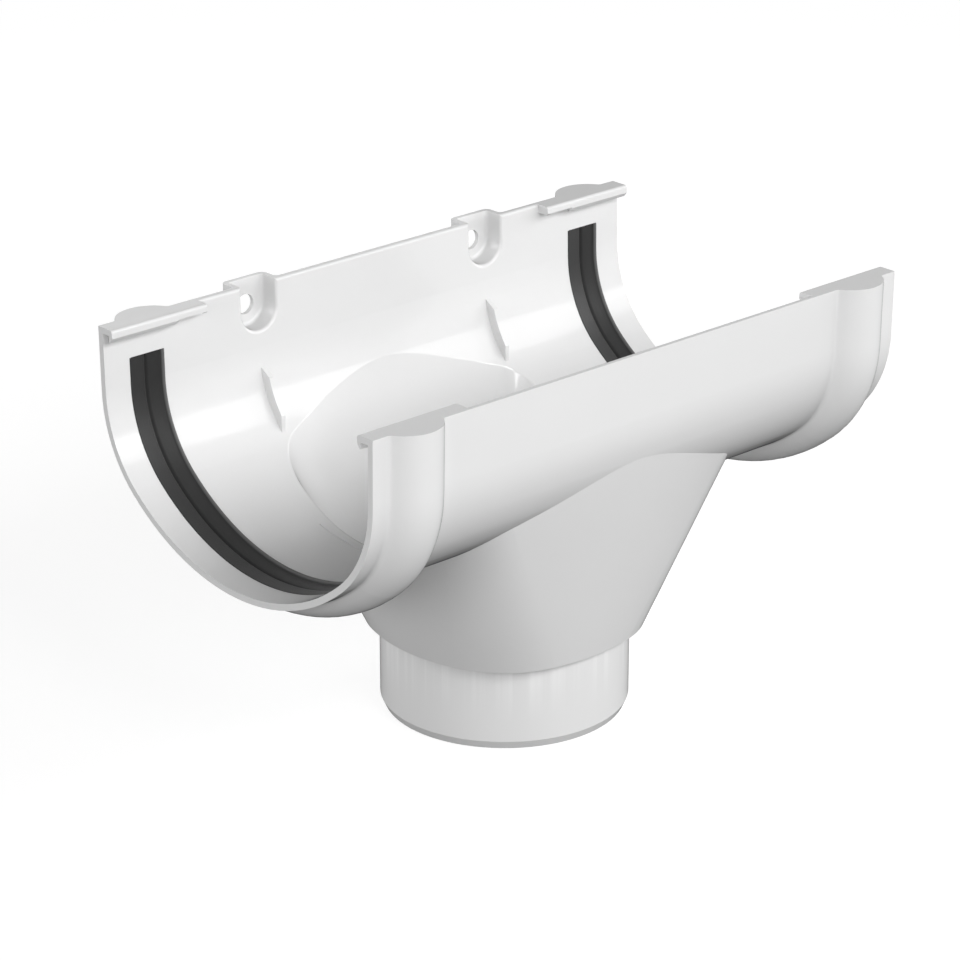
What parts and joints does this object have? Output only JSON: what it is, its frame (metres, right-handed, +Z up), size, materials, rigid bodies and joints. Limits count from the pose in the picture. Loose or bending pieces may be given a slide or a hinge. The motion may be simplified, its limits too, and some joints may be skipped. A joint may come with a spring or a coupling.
{
  "type": "gutter outlet",
  "caption": "Running outlet for a half-round gutter: a U-shaped channel with seals, snap hooks and screw pockets over a flared funnel that narrows to a round spigot.",
  "frame": {"origin": "centre of the spigot's lower rim, on the spigot's axis", "axes": "+X along the gutter, +Y towards the building (the side with the screw pockets), +Z up"},
  "size_m": [0.2162, 0.1405, 0.1356],
  "materials": {
    "body": "smooth moulded, glossy white",
    "seal": "satin black"
  },
  "bodies": {
    "root": {"outlet_body": "body", "seal_left": "seal", "seal_right": "seal"}
  },
  "joints": []
}
